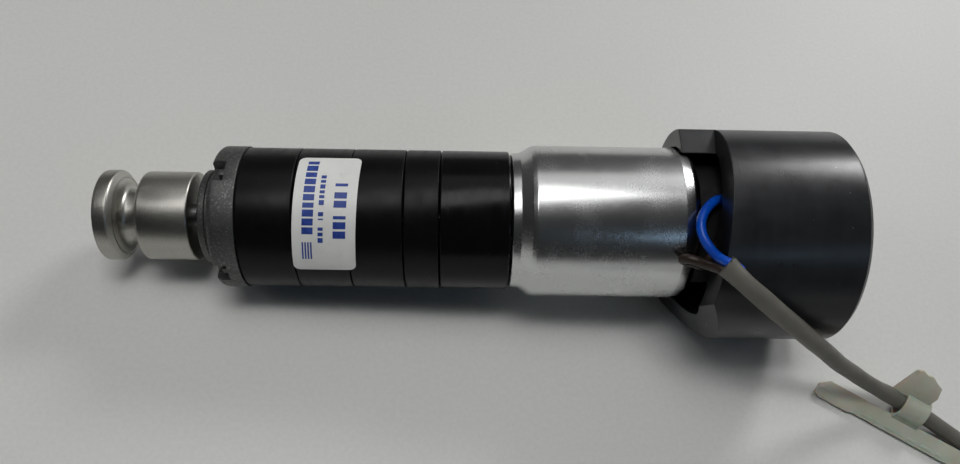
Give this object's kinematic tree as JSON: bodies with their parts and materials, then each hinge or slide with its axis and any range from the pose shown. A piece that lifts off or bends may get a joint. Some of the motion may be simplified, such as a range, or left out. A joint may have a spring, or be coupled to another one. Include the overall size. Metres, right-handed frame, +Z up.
{
  "type": "planetary DC gearmotor",
  "caption": "Round DC motor with a planetary gearhead, a grooved pulley on the output shaft, and an eccentric plastic rear cap with a cut-out for its two-core lead.",
  "frame": {"origin": "bottom centre of the machine's box without its lead: the surface it rests on, under the middle of its length", "axes": "+X along the length from the pulley to the rear cap, +Z up, -Y the side where the lead leaves. The motor axis lies in the XZ plane's direction and rises 4.42 degrees towards +X, because the machine rests on the flange's front edge and the wider cap's lip."},
  "size_m": [0.2186, 0.1478, 0.0509],
  "materials": {
    "cast_zinc": "cast, grainy",
    "turned_aluminium": "fine turned, satin",
    "black_housing": "black, semi-gloss",
    "plated_steel": "bright plated, drawn",
    "cap_plastic": "machined, satin",
    "label_film": "printed film",
    "bearing_steel": "ground",
    "gear_steel": "machined, oiled",
    "bronze": "sintered",
    "copper": "lacquered winding",
    "magnet": "ground",
    "black_plastic": "moulded",
    "carbon": "pressed",
    "brass_terminal": "tinned edge",
    "blue_insulation": "smooth PVC",
    "brown_insulation": "smooth PVC",
    "grey_sheath": "smooth PVC",
    "natural_nylon": "translucent moulded",
    "tinned_copper": "crimped"
  },
  "bodies": {
    "gearmotor_housing": {"front_flange": "cast_zinc", "front_bearing_outer": "bearing_steel", "rear_bearing_outer": "bearing_steel", "bearing_housing": "black_housing", "ring_gear_output": "black_housing", "ring_gear_middle": "black_housing", "ring_gear_input": "black_housing", "motor_adapter": "black_housing", "adapter_screw_1": "gear_steel", "adapter_screw_2": "gear_steel", "ratio_label": "label_film", "motor_can": "plated_steel", "motor_front_bush": "bronze", "stator_magnet": "magnet", "motor_end_bell": "black_plastic", "motor_rear_bush": "bronze", "brush_plus": "carbon", "brush_minus": "carbon", "terminal_plus": "brass_terminal", "terminal_minus": "brass_terminal", "rear_cap": "cap_plastic", "blue_core": "blue_insulation", "brown_core": "brown_insulation", "cable": "grey_sheath", "cable_coil": "grey_sheath", "cable_marker_tie": "natural_nylon", "cable_tail": "grey_sheath", "core_end_blue": "blue_insulation", "core_end_brown": "brown_insulation", "end_ferrule_blue": "tinned_copper", "end_ferrule_brown": "tinned_copper"},
    "rotor": {"motor_shaft": "gear_steel", "rotor_winding": "copper", "commutator": "copper", "sun_input": "gear_steel"},
    "input_carrier_set": {"carrier_input": "gear_steel", "sun_middle": "gear_steel"},
    "middle_carrier_set": {"carrier_middle": "gear_steel", "sun_output": "gear_steel"},
    "output_set": {"output_carrier": "gear_steel", "output_planet_pin_1": "gear_steel", "output_planet_pin_2": "gear_steel", "output_planet_pin_3": "gear_steel", "output_shaft": "gear_steel", "shaft_retaining_ring": "gear_steel", "front_bearing_inner": "bearing_steel", "rear_bearing_inner": "bearing_steel", "output_pulley": "turned_aluminium", "pulley_set_screw": "gear_steel"},
    "planet_output_1": {"planet_output_1": "gear_steel"},
    "planet_output_2": {"planet_output_2": "gear_steel"},
    "planet_output_3": {"planet_output_3": "gear_steel"},
    "planet_middle_1": {"planet_middle_1": "gear_steel"},
    "planet_middle_2": {"planet_middle_2": "gear_steel"},
    "planet_middle_3": {"planet_middle_3": "gear_steel"},
    "planet_input_1": {"planet_input_1": "gear_steel"},
    "planet_input_2": {"planet_input_2": "gear_steel"},
    "planet_input_3": {"planet_input_3": "gear_steel"}
  },
  "joints": [
    {"name": "rotor_spin", "type": "hinge", "parent": "gearmotor_housing", "child": "rotor", "pos_m": [0.02836, 0.003, 0.02271], "axis": [0.997, 0, 0.0771], "continuous": true},
    {"name": "input_carrier_spin", "type": "hinge", "parent": "gearmotor_housing", "child": "input_carrier_set", "pos_m": [-0.01551, 0.003, 0.01932], "axis": [0.997, 0, 0.0771], "continuous": true},
    {"name": "middle_carrier_spin", "type": "hinge", "parent": "gearmotor_housing", "child": "middle_carrier_set", "pos_m": [-0.02748, 0.003, 0.01839], "axis": [0.997, 0, 0.0771], "continuous": true},
    {"name": "output_spin", "type": "hinge", "parent": "gearmotor_housing", "child": "output_set", "pos_m": [-0.06138, 0.003, 0.01577], "axis": [0.997, 0, 0.0771], "continuous": true},
    {"name": "planet_output_1_spin", "type": "hinge", "parent": "output_set", "child": "planet_output_1", "pos_m": [-0.03416, 0.01197, 0.01787], "axis": [0.997, 0, 0.0771], "continuous": true},
    {"name": "planet_output_2_spin", "type": "hinge", "parent": "output_set", "child": "planet_output_2", "pos_m": [-0.03476, -0.00148, 0.02562], "axis": [0.997, 0, 0.0771], "continuous": true},
    {"name": "planet_output_3_spin", "type": "hinge", "parent": "output_set", "child": "planet_output_3", "pos_m": [-0.03356, -0.00148, 0.01013], "axis": [0.997, 0, 0.0771], "continuous": true},
    {"name": "planet_middle_1_spin", "type": "hinge", "parent": "middle_carrier_set", "child": "planet_middle_1", "pos_m": [-0.02249, 0.01125, 0.01878], "axis": [0.997, 0, 0.0771], "continuous": true},
    {"name": "planet_middle_2_spin", "type": "hinge", "parent": "middle_carrier_set", "child": "planet_middle_2", "pos_m": [-0.02304, -0.00112, 0.0259], "axis": [0.997, 0, 0.0771], "continuous": true},
    {"name": "planet_middle_3_spin", "type": "hinge", "parent": "middle_carrier_set", "child": "planet_middle_3", "pos_m": [-0.02194, -0.00112, 0.01165], "axis": [0.997, 0, 0.0771], "continuous": true},
    {"name": "planet_input_1_spin", "type": "hinge", "parent": "input_carrier_set", "child": "planet_input_1", "pos_m": [-0.01153, 0.01125, 0.01963], "axis": [0.997, 0, 0.0771], "continuous": true},
    {"name": "planet_input_2_spin", "type": "hinge", "parent": "input_carrier_set", "child": "planet_input_2", "pos_m": [-0.01208, -0.00112, 0.02675], "axis": [0.997, 0, 0.0771], "continuous": true},
    {"name": "planet_input_3_spin", "type": "hinge", "parent": "input_carrier_set", "child": "planet_input_3", "pos_m": [-0.01098, -0.00112, 0.0125], "axis": [0.997, 0, 0.0771], "continuous": true}
  ],
  "couplings": [
    {"joint": "rotor_spin", "follows": "output_spin", "ratio": 92.857},
    {"joint": "input_carrier_spin", "follows": "output_spin", "ratio": 18.571},
    {"joint": "middle_carrier_spin", "follows": "output_spin", "ratio": 3.7143},
    {"joint": "planet_output_1_spin", "follows": "output_spin", "ratio": -3.1667},
    {"joint": "planet_output_2_spin", "follows": "output_spin", "ratio": -3.1667},
    {"joint": "planet_output_3_spin", "follows": "output_spin", "ratio": -3.1667},
    {"joint": "planet_middle_1_spin", "follows": "output_spin", "ratio": -9.9048},
    {"joint": "planet_middle_2_spin", "follows": "output_spin", "ratio": -9.9048},
    {"joint": "planet_middle_3_spin", "follows": "output_spin", "ratio": -9.9048},
    {"joint": "planet_input_1_spin", "follows": "output_spin", "ratio": -49.524},
    {"joint": "planet_input_2_spin", "follows": "output_spin", "ratio": -49.524},
    {"joint": "planet_input_3_spin", "follows": "output_spin", "ratio": -49.524}
  ]
}
